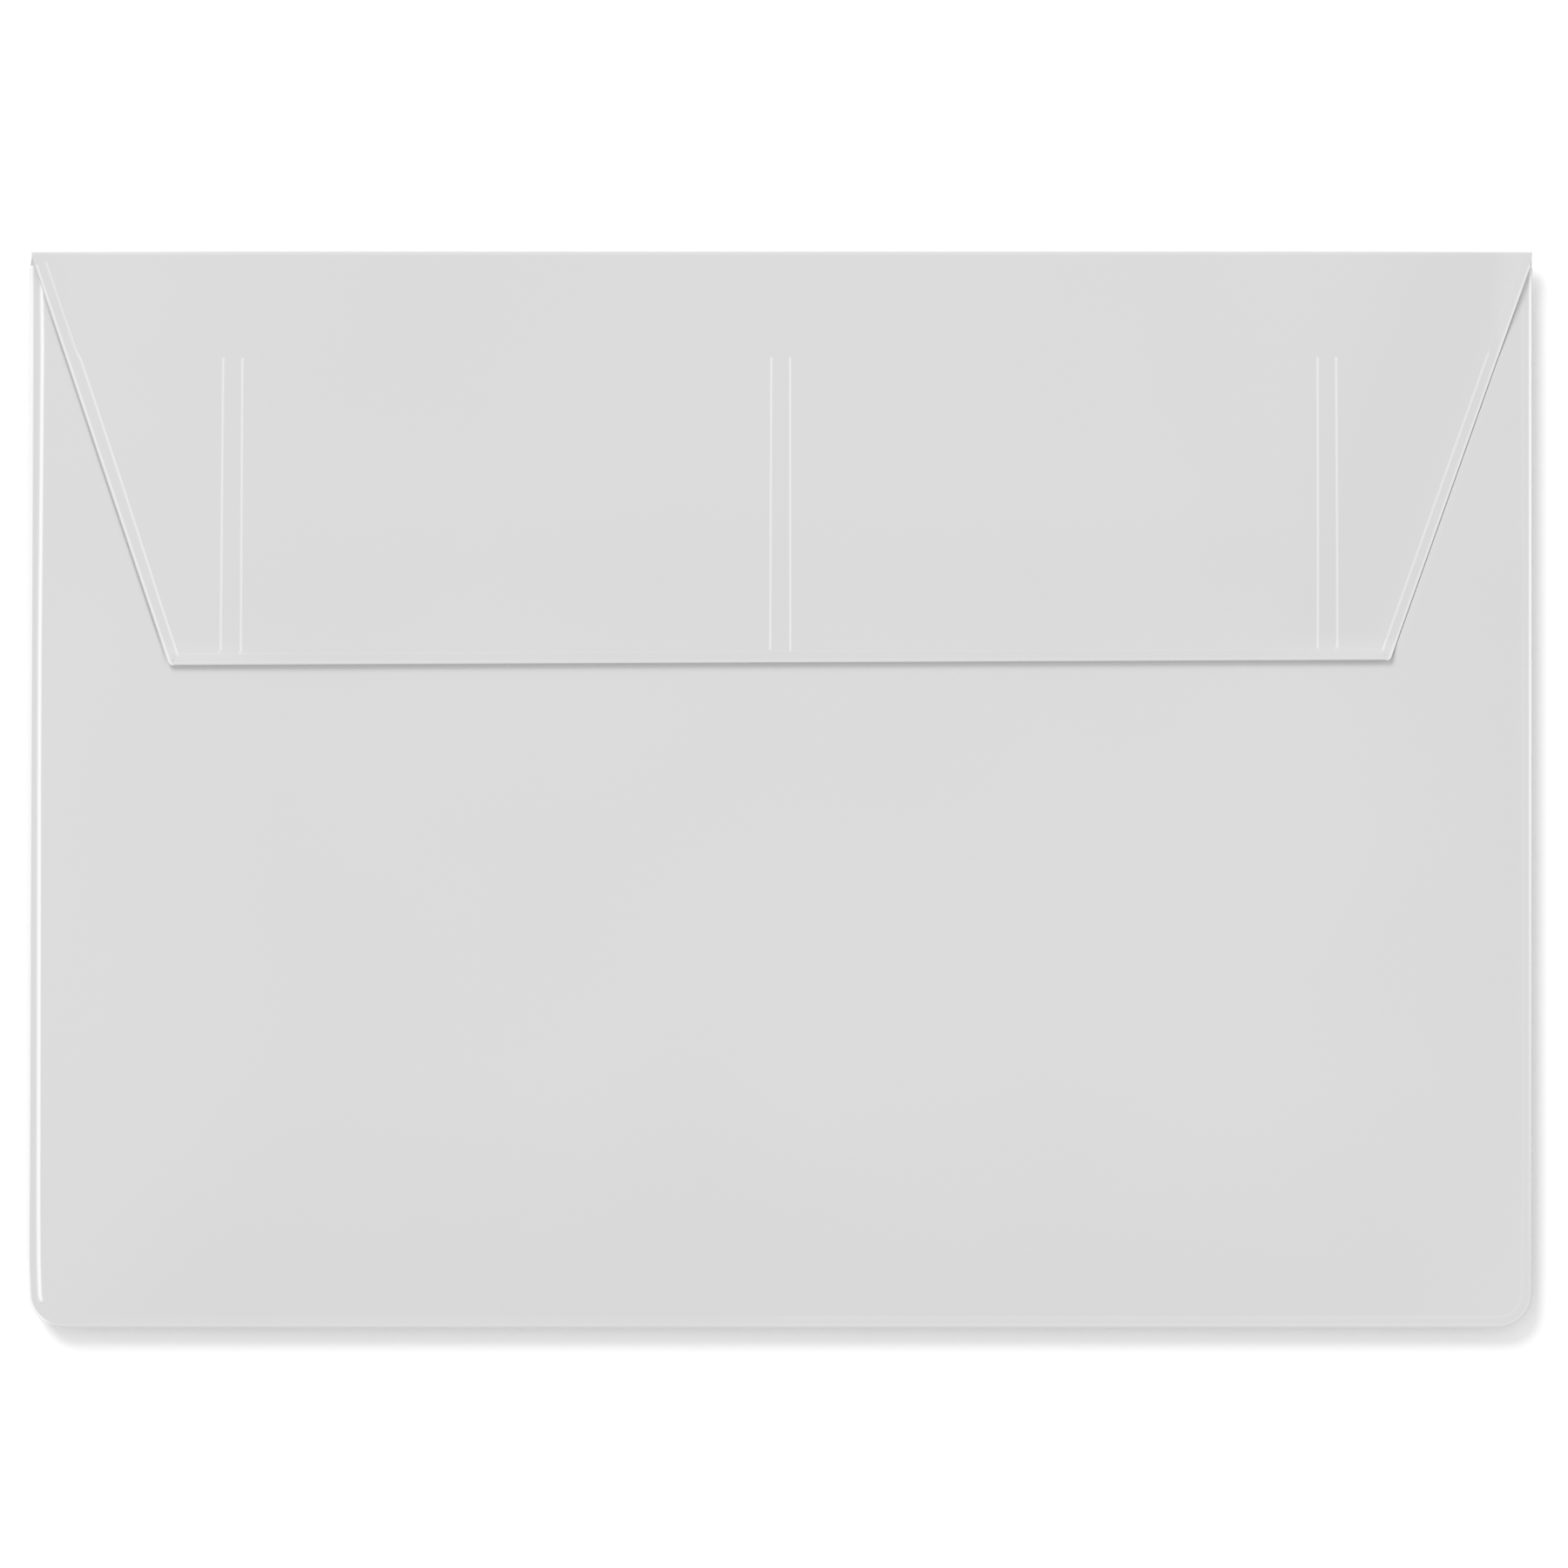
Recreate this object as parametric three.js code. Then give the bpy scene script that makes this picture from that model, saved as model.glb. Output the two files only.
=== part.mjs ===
// An owner's manual pouch of light grey vinyl, closed and lying on its back.
//
// It is an envelope of heat-welded sheets. One sheet makes the back and, past the fold, the flap. A second
// makes the front, and is welded to the back along both sides and the bottom. A thin clear sheet is welded to
// the inner face of the flap, where pairs of weld lines divide it into two card pockets and two small end cells.
//
// Millimetres. +X is to the right, +Y is towards the fold and +Z is up. The origin is under the middle of the
// pouch, on the surface that it lies on.

import { BoxGeometry, ExtrudeGeometry, Group, MathUtils, Mesh, MeshStandardMaterial, Path, Shape } from 'three';

// Outline of the closed pouch
const pouchWidth = 257.2;
const pouchHeight = 184.2; // from the outside of the fold to the bottom edge
const cornerRadius = 5.8; // of the two bottom corners
const foldDepth = 2.3; // how far the round of the fold stands out past the flat sheets
const mouthInset = 2.7; // from the outside of the fold to the top edge of the front sheet

// Sheets
const sheet = 0.5; // the back, front and flap
const clearSheet = 0.25; // the card pockets

// Welds
const seamWidth = 1.7; // round the sides and the bottom
const weld = 0.2; // the melted layer between two sheets
const edgeWeldWidth = 1.75; // round the edge of the flap
const dividerWidth = 0.6; // one line between the card pockets
const dividerSpacing = 3.3; // between the two lines of a pair
const dividerGap = 0.35; // from the end of a line to the weld along the flap's edge

// Flap and card pockets
const cardMouthInset = 17.95; // from the outside of the fold to the mouth of the card pockets
const cardWidth = 90.4; // one pocket, between its weld lines
const cardDepth = 50.6;
const endCell = 9.65; // from the outermost weld line to the corner of the flap

// The slack of the sheets when the pouch is empty
const bulge = 2.5; // of the back downwards and of the front upwards
const shoulderWidth = 42; // the curved stretch from a seam to the flat middle

// Clearances
const restGap = 0.3; // between the front and the card pocket sheet that lies on it
const slip = 0.1; // on each side of a weld on the flap

// Places on the plan
const halfWidth = pouchWidth / 2;
const foldY = pouchHeight / 2;
const bottomY = -foldY;
const bandY = foldY - foldDepth;
const mouthY = foldY - mouthInset;
const seamX = halfWidth - seamWidth;
const seamY = bottomY + seamWidth;
const cornerY = bottomY + cornerRadius;
const shoulderY = seamY + shoulderWidth;
const cardMouthY = foldY - cardMouthInset;
const edgeWeldY = cardMouthY - cardDepth;
const flapEndY = edgeWeldY - edgeWeldWidth;
const flapEndHalf = cardWidth + 1.5 * dividerSpacing + endCell; // half the width of the flap at its end

// Heights of the undersides at the flat edges, from the back up. The middle of the back lies at 0.
const backZ = bulge;
const seamZ = backZ + sheet;
const frontZ = seamZ + weld;
const cardSheetZ = frontZ + sheet + restGap;
const flapWeldZ = cardSheetZ + clearSheet + slip;
const flapZ = flapWeldZ + weld + slip;
const halfStack = (flapZ + sheet - backZ) / 2;
const creaseZ = backZ + halfStack; // the fold's outermost line, about which the flap turns

const vinylGrey = 0xdcdcdc;

const steps = (from, to, count) =>
  Array.from({ length: count + 1 }, (_, i) => MathUtils.lerp(from, to, i / count));

// From 0 at a seam to 1 at the flat middle, on a parabola that levels out there.
const shoulder = (inset) => 1 - (1 - MathUtils.clamp(inset / shoulderWidth, 0, 1)) ** 2;
const rise = (x, y) => bulge * shoulder(seamX - Math.abs(x)) * shoulder(y - seamY);

const pouchHalf = (y) => {
  const below = Math.max(cornerY - y, 0);
  return halfWidth - cornerRadius + Math.sqrt(Math.max(cornerRadius ** 2 - below ** 2, 0));
};
const flapHalf = (y) => MathUtils.mapLinear(y, flapEndY, bandY, flapEndHalf, halfWidth);

// A closed sheet: a box whose grid goes to the given columns and rows. place(column, row, side) gives a point,
// with side 0 on the lower face and 1 on the upper.
function bentSheet(columns, rows, place) {
  const across = columns.length - 1;
  const along = rows.length - 1;
  const geometry = new BoxGeometry(1, 1, 1, across, along, 1);
  const points = geometry.attributes.position;
  for (let i = 0; i < points.count; i += 1) {
    const column = columns[Math.round((points.getX(i) + 0.5) * across)];
    const row = rows[Math.round((points.getY(i) + 0.5) * along)];
    points.setXYZ(i, ...place(column, row, points.getZ(i) + 0.5));
  }
  geometry.computeVertexNormals();
  return geometry;
}

// A sheet or weld that follows the front. Columns run from -1 to 1 between its left and right edges.
function drapedSheet({ columns, rows, left, right, underside, thickness }) {
  return bentSheet(columns, rows, (column, y, side) => {
    const x = MathUtils.lerp(left(y), right(y), (column + 1) / 2);
    return [x, y, underside + rise(x, y) + side * thickness];
  });
}

// A sheet that ends in its half of the fold: the back with facing -1, the flap with facing 1. A row is a place
// along the sheet and how far it has turned there. The fold is half an ellipse, lower at the sides.
function foldedSheet({ columns, rows, half, facing }) {
  const turns = steps(0, Math.PI / 2, 6).map((turn) => [bandY, turn]);
  const flatRows = rows.map((y) => [y, 0]);
  return bentSheet(columns, [...flatRows, ...turns], (column, [y, turn], side) => {
    const x = column * half(y);
    const inset = side === (facing + 1) / 2 ? 0 : sheet;
    const height = (halfStack + rise(x, y) - inset) * Math.cos(turn);
    return [x, y + (foldDepth - inset) * Math.sin(turn), creaseZ + facing * height];
  });
}

// Columns that are close together over the two shoulders
const mirrored = (shares) => [...shares.map((share) => -share), ...shares.toReversed()];
const flatShare = (seamX - shoulderWidth) / halfWidth;
const pouchColumns = mirrored([1, ...steps(seamX / halfWidth, flatShare, 8)]);
const flapColumns = mirrored(steps(1, flatShare * 0.9, 10));
const edgeColumns = [-1, 1];

const cornerRows = steps(0, Math.PI / 2, 6).map((turn) => cornerY - cornerRadius * Math.cos(turn));
const shoulderRows = steps(cornerY, shoulderY, 9).slice(1);
const flapRows = (from, to) => steps(from, to, 4);

function backPanel() {
  return foldedSheet({
    columns: pouchColumns,
    rows: [...cornerRows, ...shoulderRows],
    half: pouchHalf,
    facing: -1,
  });
}

function frontPanel() {
  return drapedSheet({
    columns: pouchColumns,
    rows: [...cornerRows, ...shoulderRows, mouthY],
    left: (y) => -pouchHalf(y),
    right: pouchHalf,
    underside: frontZ,
    thickness: sheet,
  });
}

function flapPanel() {
  return foldedSheet({
    columns: flapColumns,
    rows: flapRows(flapEndY, bandY).slice(0, -1),
    half: flapHalf,
    facing: 1,
  });
}

function cardPocketSheet() {
  return drapedSheet({
    columns: flapColumns,
    rows: flapRows(flapEndY, cardMouthY),
    left: (y) => -flapHalf(y),
    right: flapHalf,
    underside: cardSheetZ,
    thickness: clearSheet,
  });
}

// The seam down one side, with side -1 on the left and 1 on the right
function sideSeam(side) {
  const geometry = new BoxGeometry(seamWidth, mouthY - cornerY, weld);
  return geometry.translate(side * (halfWidth - seamWidth / 2), (mouthY + cornerY) / 2, seamZ + weld / 2);
}

// The seam along the bottom, with both corners
function bottomSeam() {
  const outline = new Shape();
  outline.moveTo(-halfWidth, cornerY);
  outline.absarc(-halfWidth + cornerRadius, cornerY, cornerRadius, Math.PI, 1.5 * Math.PI);
  outline.absarc(halfWidth - cornerRadius, cornerY, cornerRadius, 1.5 * Math.PI, 2 * Math.PI);
  const inner = Math.max(cornerRadius - seamWidth, 0);
  outline.lineTo(seamX, cornerY);
  outline.absarc(halfWidth - cornerRadius, cornerY, inner, 2 * Math.PI, 1.5 * Math.PI, true);
  outline.absarc(-halfWidth + cornerRadius, cornerY, inner, 1.5 * Math.PI, Math.PI, true);
  return new ExtrudeGeometry(outline, { depth: weld, bevelEnabled: false }).translate(0, 0, seamZ);
}

// The weld down one slanted side of the flap
function slantWeld(side) {
  const outer = (y) => side * flapHalf(y);
  const inner = (y) => side * (flapHalf(y) - edgeWeldWidth);
  return drapedSheet({
    columns: edgeColumns,
    rows: flapRows(edgeWeldY, cardMouthY),
    left: side < 0 ? outer : inner,
    right: side < 0 ? inner : outer,
    underside: flapWeldZ,
    thickness: weld,
  });
}

function flapEndWeld() {
  return drapedSheet({
    columns: flapColumns,
    rows: [flapEndY, edgeWeldY],
    left: (y) => -flapHalf(y),
    right: flapHalf,
    underside: flapWeldZ,
    thickness: weld,
  });
}

// One line between two card pockets, centred on x
function dividerWeld(x) {
  return drapedSheet({
    columns: edgeColumns,
    rows: [edgeWeldY + dividerGap, cardMouthY],
    left: () => x - dividerWidth / 2,
    right: () => x + dividerWidth / 2,
    underside: flapWeldZ,
    thickness: weld,
  });
}

const pouch = new Group();
pouch.name = 'owners_manual_pouch';

function addPiece(name, geometry, look) {
  const mesh = new Mesh(geometry, new MeshStandardMaterial(look));
  mesh.name = name;
  pouch.add(mesh);
}

const greyVinyl = { color: vinylGrey, roughness: 0.5, metalness: 0 };
const meltedVinyl = { color: vinylGrey, roughness: 0.3, metalness: 0 };
const clearVinyl = { color: 0xf2f4f5, roughness: 0.15, metalness: 0, transparent: true, opacity: 0.4 };

addPiece('back_panel', backPanel(), greyVinyl);
addPiece('front_panel', frontPanel(), greyVinyl);
addPiece('flap_panel', flapPanel(), greyVinyl);
addPiece('card_pocket_sheet', cardPocketSheet(), clearVinyl);
addPiece('left_seam_weld', sideSeam(-1), meltedVinyl);
addPiece('right_seam_weld', sideSeam(1), meltedVinyl);
addPiece('bottom_seam_weld', bottomSeam(), meltedVinyl);
addPiece('left_flap_edge_weld', slantWeld(-1), meltedVinyl);
addPiece('right_flap_edge_weld', slantWeld(1), meltedVinyl);
addPiece('flap_end_weld', flapEndWeld(), meltedVinyl);

const dividers = [
  ['left_divider_weld', -1, ['outer', 'inner']],
  ['middle_divider_weld', 0, ['left', 'right']],
  ['right_divider_weld', 1, ['inner', 'outer']],
];
for (const [name, place, ends] of dividers) {
  const centre = place * (cardWidth + dividerSpacing);
  ends.forEach((end, i) => addPiece(`${name}_${end}`, dividerWeld(centre + (i - 0.5) * dividerSpacing), meltedVinyl));
}

export default pouch;
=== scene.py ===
# %% [markdown]
# # A vinyl pouch for an owner's manual
# The pouch is three sheets of vinyl, welded together by heat. One light grey sheet makes the back,
# runs round the fold and comes down over the front as the flap. A second makes the front. A thin
# clear one lies against the inner face of the flap and makes two card pockets. This script
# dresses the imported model: it reads each size from the model's own solids, and makes every sheet
# and weld again as a finer surface with a finish.

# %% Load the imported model
import math

import bpy
import numpy as np
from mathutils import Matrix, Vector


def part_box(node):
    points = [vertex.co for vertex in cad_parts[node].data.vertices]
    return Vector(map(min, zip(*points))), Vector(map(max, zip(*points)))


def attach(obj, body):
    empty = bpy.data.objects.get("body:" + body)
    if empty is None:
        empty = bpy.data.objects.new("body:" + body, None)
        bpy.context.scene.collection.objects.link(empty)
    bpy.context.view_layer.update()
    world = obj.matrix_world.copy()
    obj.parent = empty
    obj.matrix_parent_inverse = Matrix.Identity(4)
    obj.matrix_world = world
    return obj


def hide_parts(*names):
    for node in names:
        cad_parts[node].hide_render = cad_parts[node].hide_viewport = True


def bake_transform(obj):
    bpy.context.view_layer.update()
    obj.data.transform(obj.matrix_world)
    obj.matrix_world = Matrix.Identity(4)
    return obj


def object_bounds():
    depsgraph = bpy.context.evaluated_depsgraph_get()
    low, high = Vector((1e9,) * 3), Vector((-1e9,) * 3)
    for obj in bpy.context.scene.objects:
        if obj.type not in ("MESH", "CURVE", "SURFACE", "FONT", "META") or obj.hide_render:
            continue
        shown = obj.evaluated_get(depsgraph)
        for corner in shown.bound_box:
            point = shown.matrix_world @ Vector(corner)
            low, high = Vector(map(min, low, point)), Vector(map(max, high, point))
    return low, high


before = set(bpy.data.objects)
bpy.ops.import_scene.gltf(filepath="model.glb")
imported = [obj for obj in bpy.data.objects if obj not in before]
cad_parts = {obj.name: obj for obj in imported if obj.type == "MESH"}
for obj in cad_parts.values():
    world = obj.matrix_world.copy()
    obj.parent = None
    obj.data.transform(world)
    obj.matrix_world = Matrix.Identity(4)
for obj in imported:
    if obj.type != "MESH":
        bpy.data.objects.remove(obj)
cad_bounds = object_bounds()
cad_span = cad_bounds[1] - cad_bounds[0]
print(len(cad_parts), "solids span", [round(side * 1000, 2) for side in cad_span], "mm")

# %% [markdown]
# ## Sizes
# Each size is the distance between two sides of a solid, so this model follows the other one if
# that changes. The numbers could be typed again instead, but then the two models could drift
# apart. Only what no side of a solid shows is set here: the thickness of the sheets, the reach
# of the curved shoulders and the depth of the round of the fold.

# %% Sizes on the plan
MM = 0.001
SHOULDER = 42 * MM  # the curved stretch from a seam to the flat middle
FOLD_DEPTH = 2.3 * MM  # how far the round of the fold stands out past the flat sheets

back_low, back_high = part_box("back_panel")
front_low, front_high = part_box("front_panel")
flap_low, flap_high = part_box("flap_panel")
card_low, card_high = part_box("card_pocket_sheet")
side_seam_low, side_seam_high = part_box("left_seam_weld")
end_seam_low, end_seam_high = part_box("bottom_seam_weld")
flap_end_low, flap_end_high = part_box("flap_end_weld")

HALF_WIDTH = back_high.x
FOLD_Y, BOTTOM_Y = back_high.y, back_low.y
BAND_Y = FOLD_Y - FOLD_DEPTH  # where the round of the fold starts
MOUTH_Y = front_high.y
CARD_MOUTH_Y = card_high.y
FLAP_END_Y = flap_low.y
FLAP_SLANT = (flap_end_high.x - HALF_WIDTH) / (flap_end_high.y - BAND_Y)
EDGE_WELD_WIDTH = flap_end_high.y - flap_end_low.y
SEAM_WIDTH = side_seam_high.x - side_seam_low.x
SEAM_X = HALF_WIDTH - SEAM_WIDTH
SEAM_Y = BOTTOM_Y + SEAM_WIDTH
CORNER_RADIUS = end_seam_high.y - end_seam_low.y
CORNER_Y = BOTTOM_Y + CORNER_RADIUS
print("pouch", round(2 * HALF_WIDTH / MM, 1), "by", round((FOLD_Y - BOTTOM_Y) / MM, 1), "mm")

# %% Heights
SHEET = 0.5 * MM
CLEAR_SHEET = 0.25 * MM
REST_GAP = 0.05 * MM  # between two sheets where one has settled on the other

BULGE = side_seam_low.z - SHEET  # of the back downwards and of the front upwards
CREASE_Z = back_high.z
FRONT_Z = front_low.z
CARD_Z = card_low.z
HALF_STACK = flap_high.z - BULGE - CREASE_Z
FLAP_TOP_Z = CREASE_Z + HALF_STACK
CARD_SETTLE = CARD_Z - FRONT_Z - SHEET - REST_GAP
FLAP_SETTLE = CARD_SETTLE + FLAP_TOP_Z - SHEET - CARD_Z - CLEAR_SHEET
print("bulge", round(BULGE / MM, 2), "mm, crease", round(CREASE_Z / MM, 2), "mm up")

# %% [markdown]
# ## What the hand and the press left
# A real pouch is never quite square. Its flap was folded over by hand, so both of its edges lie a
# little inside their places, and its end is turned by half a millimetre. Its slants have
# pressed a shallow step into the front, deeper on the right. A perfect model would look
# drawn, so these differences are set here, as the photograph shows them.

# %% Small irregularities
LEFT_AT_FOLD, LEFT_AT_END = 0.72 * MM, 0.23 * MM  # how far to the right the flap's left edge is
RIGHT_AT_FOLD, RIGHT_AT_END = -0.27 * MM, -0.86 * MM  # and its right edge
FLAP_TILT = 0.45 * MM  # how far the right end of the flap is up, and the left end down
FLAP_DROP = 0.1 * MM  # how far its whole end is down
FLAP_CORNER = 0.55 * MM  # the radius of its two corners
LEFT_DENT, RIGHT_DENT = 0.4 * MM, 0.72 * MM  # how deep the slants have pressed the front in
STEP = 0.35 * MM  # how far the front takes, on either side of a slant, to rise again
print("the end of the flap is turned by", round(FLAP_TILT / MM, 2), "mm on each side")

# %% [markdown]
# ## Camera
# The photograph is taken from straight above, so a long lens looks straight down. The distance
# follows from the width of the pouch in the picture, and the camera stands off the middle by as
# much as the picture does. It could be moved by eye, but the sizes give its place at once.

# %% Camera
PHOTO_SIDE = 1800  # pixels, as are the four sides of the pouch in the photograph
PHOTO_LEFT, PHOTO_RIGHT, PHOTO_TOP, PHOTO_BOTTOM = 35.5, 1758.5, 289.3, 1524.3
LENS, SENSOR = 200, 36
pixel = 2 * HALF_WIDTH / (PHOTO_RIGHT - PHOTO_LEFT)
camera_data = bpy.data.cameras.new("camera")
camera_data.lens = LENS
camera_data.sensor_width = SENSOR
camera = bpy.data.objects.new("camera", camera_data)
camera.location = (
    (PHOTO_SIDE - PHOTO_LEFT - PHOTO_RIGHT) / 2 * pixel,
    (PHOTO_TOP + PHOTO_BOTTOM - PHOTO_SIDE) / 2 * pixel,
    PHOTO_SIDE / 2 * pixel * LENS / (SENSOR / 2) + FRONT_Z,
)
bpy.context.collection.objects.link(camera)
bpy.context.scene.camera = camera
print("one pixel of the photograph is", round(pixel / MM, 4), "mm")

# %% [markdown]
# ## Light
# A white sky gives most of the light, so the grey of the vinyl comes out about as it is written.
# A broad sun from the top left, the key, is as wide as a large softbox and throws the soft shadow
# past the right and bottom edges. A weak one from the other side, without a shadow, stands in for
# the light that a studio's walls throw back. The three shares sum to 1, so a flat white surface
# comes out at just about 1. Area lamps could do the same, but a sun lights every spot alike. Seen
# directly, the sky is white, whatever its share.

# %% Sky
LAMPS = {
    "key": {"share": 0.27, "stands": (-0.4, 0.68, 0.6), "width": 27, "shadow": True},
    "fill": {"share": 0.08, "stands": (0.44, -0.66, 0.6), "width": 60, "shadow": False},
}
SKY = 1 - sum(lamp["share"] for lamp in LAMPS.values())
world = bpy.data.worlds.new("sky")
world.use_nodes = True
sky_nodes = world.node_tree.nodes
sky_nodes["Background"].inputs["Color"].default_value = (1, 1, 1, 1)
ray = sky_nodes.new("ShaderNodeLightPath")
strength = sky_nodes.new("ShaderNodeMapRange")
strength.inputs["To Min"].default_value = SKY
strength.inputs["To Max"].default_value = 1
sky_links = world.node_tree.links
sky_links.new(ray.outputs["Is Camera Ray"], strength.inputs["Value"])
sky_links.new(strength.outputs["Result"], sky_nodes["Background"].inputs["Strength"])
bpy.context.scene.world = world
bpy.context.scene.view_settings.view_transform = "Standard"
print("the sky gives", round(SKY, 2), "of the light")

# %% Lamps
for name, lamp in LAMPS.items():
    stands = np.array(lamp["stands"]) / np.linalg.norm(lamp["stands"])
    data = bpy.data.lights.new(name, "SUN")
    data.energy = lamp["share"] * math.pi / stands[2]
    data.angle = math.radians(lamp["width"])
    data.use_shadow = lamp["shadow"]
    light = bpy.data.objects.new(name, data)
    heading = math.atan2(stands[1], stands[0]) + math.pi / 2
    light.rotation_euler = (math.acos(stands[2]), 0, heading)
    bpy.context.collection.objects.link(light)
    print(name, "stands", round(math.degrees(math.asin(stands[2]))), "degrees high")

# %% [markdown]
# ## Shader maths
# A finish is a formula over the surface. Written with one node per sum it is long, so one small
# class wraps a socket and turns +, - and * into Math nodes. Its reflected forms let a number stand
# first, as in 1 - mask. A second class holds the material that the nodes go into.


# %% A class for shader maths
class Value:
    """A socket of a material's tree. Arithmetic on it adds Math nodes to that tree."""

    def __init__(self, look, socket):
        self.look, self.socket = look, socket

    def math(self, operation, *others):
        terms = {i: term for i, term in enumerate(others)}
        return self.look.node("ShaderNodeMath", {"operation": operation}, terms)

    def __add__(self, other):
        return self.math("ADD", self, other)

    def __sub__(self, other):
        return self.math("SUBTRACT", self, other)

    def __rsub__(self, other):
        return self.math("SUBTRACT", other, self)

    def __mul__(self, other):
        return self.math("MULTIPLY", self, other)

    __radd__, __rmul__ = __add__, __mul__


print("sums in shader maths: +, - and *")


# %% A class for materials
class Look:
    """A material under construction. node() adds any node and gives one of its outputs."""

    def __init__(self, name):
        self.material = bpy.data.materials.new(name)
        self.material.use_nodes = True
        self.tree = self.material.node_tree
        self.shader = self.tree.nodes["Principled BSDF"]

    def node(self, kind, settings=None, inputs=None, output=0):
        node = self.tree.nodes.new(kind)
        for key, value in (settings or {}).items():
            setattr(node, key, value)
        for key, value in (inputs or {}).items():
            self.feed(node.inputs[key], value)
        return Value(self, node.outputs[output])

    def feed(self, socket, value):
        if isinstance(value, Value):
            self.tree.links.new(value.socket, socket)
        else:
            socket.default_value = value

    def shade(self, **inputs):
        for key, value in inputs.items():
            self.feed(self.shader.inputs[key.replace("_", " ")], value)

    def noise(self, scale, detail):
        place = self.node("ShaderNodeTexCoord", output="Object")
        terms = {"Vector": place, "Scale": scale, "Detail": detail, "Roughness": 0.5}
        return self.node("ShaderNodeTexNoise", {}, terms)

    def mixed(self, factor, first, second):
        colours = {"Factor": factor, 6: first, 7: second}
        return self.node("ShaderNodeMix", {"data_type": "RGBA"}, colours, output=2)

    def bump(self, height, depth, strength):
        terms = {"Height": height, "Distance": depth, "Strength": strength}
        return self.node("ShaderNodeBump", {}, terms)


def grey(level):
    """A neutral colour of that linear level."""
    return (level, level, level, 1)


print("a grey of 0.5 is", grey(0.5))

# %% [markdown]
# ## Vinyl
# Calendered vinyl is an even light grey with a satin surface. Close up it has a very fine grain
# from the rollers, and broad patches that are a little glossier. Where the press has melted it,
# it is smoother and paler, as stretched plastic is; on the welds that paler tone is also painted
# highlight, whitest on the left, where the key light comes from. Along some cut edges a dark line
# is painted shade, the contact shadow beside the edge. A photograph could be laid over it, but it
# would only fit this one view. Two noises and one number per point are enough: the number says
# how far a point of a weld was whitened, by the press and as painted highlight, and below 0 how
# much painted shade its cut has.

# %% Grey vinyl
# Pale grey: weld whitening and painted highlight. Dark grey: painted shade along cut edges.
VINYL_GREY, WHITENED_AND_HIGHLIGHT_GREY, CUT_SHADE_GREY = 0.706, 0.98, 0.15
GREY_SPREAD = 0.015
SATIN, SATIN_SPREAD, PRESSED_GLOSS = 0.42, 0.1, 0.22
PATCHES, GRAIN = 18, 2600  # the scales of the two noises
GRAIN_DEPTH, GRAIN_STRENGTH = 0.012 * MM, 0.6


def vinyl(name, whitened_and_painted):
    """Satin vinyl: a slow noise moves the grey and the gloss a little, a fine one is the grain."""
    look = Look(name)
    patches = look.noise(PATCHES, 2)
    grain = look.noise(GRAIN, 3)
    darker, lighter = VINYL_GREY * (1 - GREY_SPREAD), VINYL_GREY * (1 + GREY_SPREAD)
    tone = look.mixed(patches, grey(darker), grey(lighter))
    roughness = SATIN + SATIN_SPREAD * patches
    # On welds the attribute mixes in whitening with painted highlight, and below 0 painted shade.
    if whitened_and_painted:
        whitening_and_painted_light = look.node("ShaderNodeAttribute", {"attribute_name": "whitening_and_painted_light"}, output="Fac")
        whitening_and_highlight = whitening_and_painted_light.math("MAXIMUM", whitening_and_painted_light, 0)
        tone = look.mixed(whitening_and_highlight, tone, grey(WHITENED_AND_HIGHLIGHT_GREY))
        tone = look.mixed(whitening_and_highlight - whitening_and_painted_light, tone, grey(CUT_SHADE_GREY))
        roughness = roughness - PRESSED_GLOSS * whitening_and_highlight
    normal = look.bump(grain, GRAIN_DEPTH, GRAIN_STRENGTH)
    look.shade(Base_Color=tone, Roughness=roughness, Normal=normal, IOR=1.5)
    return look.material


sheet_vinyl = vinyl("grey vinyl", whitened_and_painted=False)
weld_vinyl = vinyl("welded vinyl", whitened_and_painted=True)
print("grey vinyl comes out at", VINYL_GREY, "and where it is pressed at up to", WHITENED_AND_HIGHLIGHT_GREY)

# %% Clear vinyl
FILM_GREY, FILM_WHITE = 0.82, 0.9
FILM_HAZE, FILM_HAZE_SPREAD = 0.26, 0.1
FILM_GLOSS, FILM_GLOSS_SPREAD = 0.12, 0.08
FILM_PATCHES, FILM_GRAIN = 25, 900
FILM_GRAIN_DEPTH, FILM_GRAIN_STRENGTH = 0.01 * MM, 0.5


def clear_vinyl():
    """Clear vinyl: a thin pale film, a little hazier and less glossy in the patches of a noise."""
    look = Look("clear vinyl")
    patches = look.noise(FILM_PATCHES, 2)
    grain = look.noise(FILM_GRAIN, 2)
    look.shade(
        Base_Color=look.mixed(patches, grey(FILM_GREY), grey(FILM_WHITE)),
        Alpha=FILM_HAZE + FILM_HAZE_SPREAD * patches,
        Roughness=FILM_GLOSS + FILM_GLOSS_SPREAD * patches,
        Normal=look.bump(grain, FILM_GRAIN_DEPTH, FILM_GRAIN_STRENGTH),
    )
    return look.material


film = clear_vinyl()
print("materials:", [material.name for material in (sheet_vinyl, weld_vinyl, film)])

# %% [markdown]
# ## The form of the empty pouch
# With nothing in it the pouch is slack: between its seams the back sinks and the front rises by a
# couple of millimetres, each on a shoulder that levels out towards a flat middle. It could be a
# cloth that is left to fall, but two short formulas give the same form in no time. Every
# sheet above the back follows the same surface, so they nest without touching.

# %% The slack of the sheets
RIPPLE = 0.03 * MM


def shoulder(inset):
    """From 0 at a seam to 1 at the flat middle, on a parabola that levels out there."""
    return 1 - (1 - np.clip(inset / SHOULDER, 0, 1)) ** 2


def slack(x, y):
    """How far a sheet stands off its flat edges: the product of the shoulders both ways."""
    return BULGE * shoulder(SEAM_X - np.abs(x)) * shoulder(y - SEAM_Y)


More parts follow.
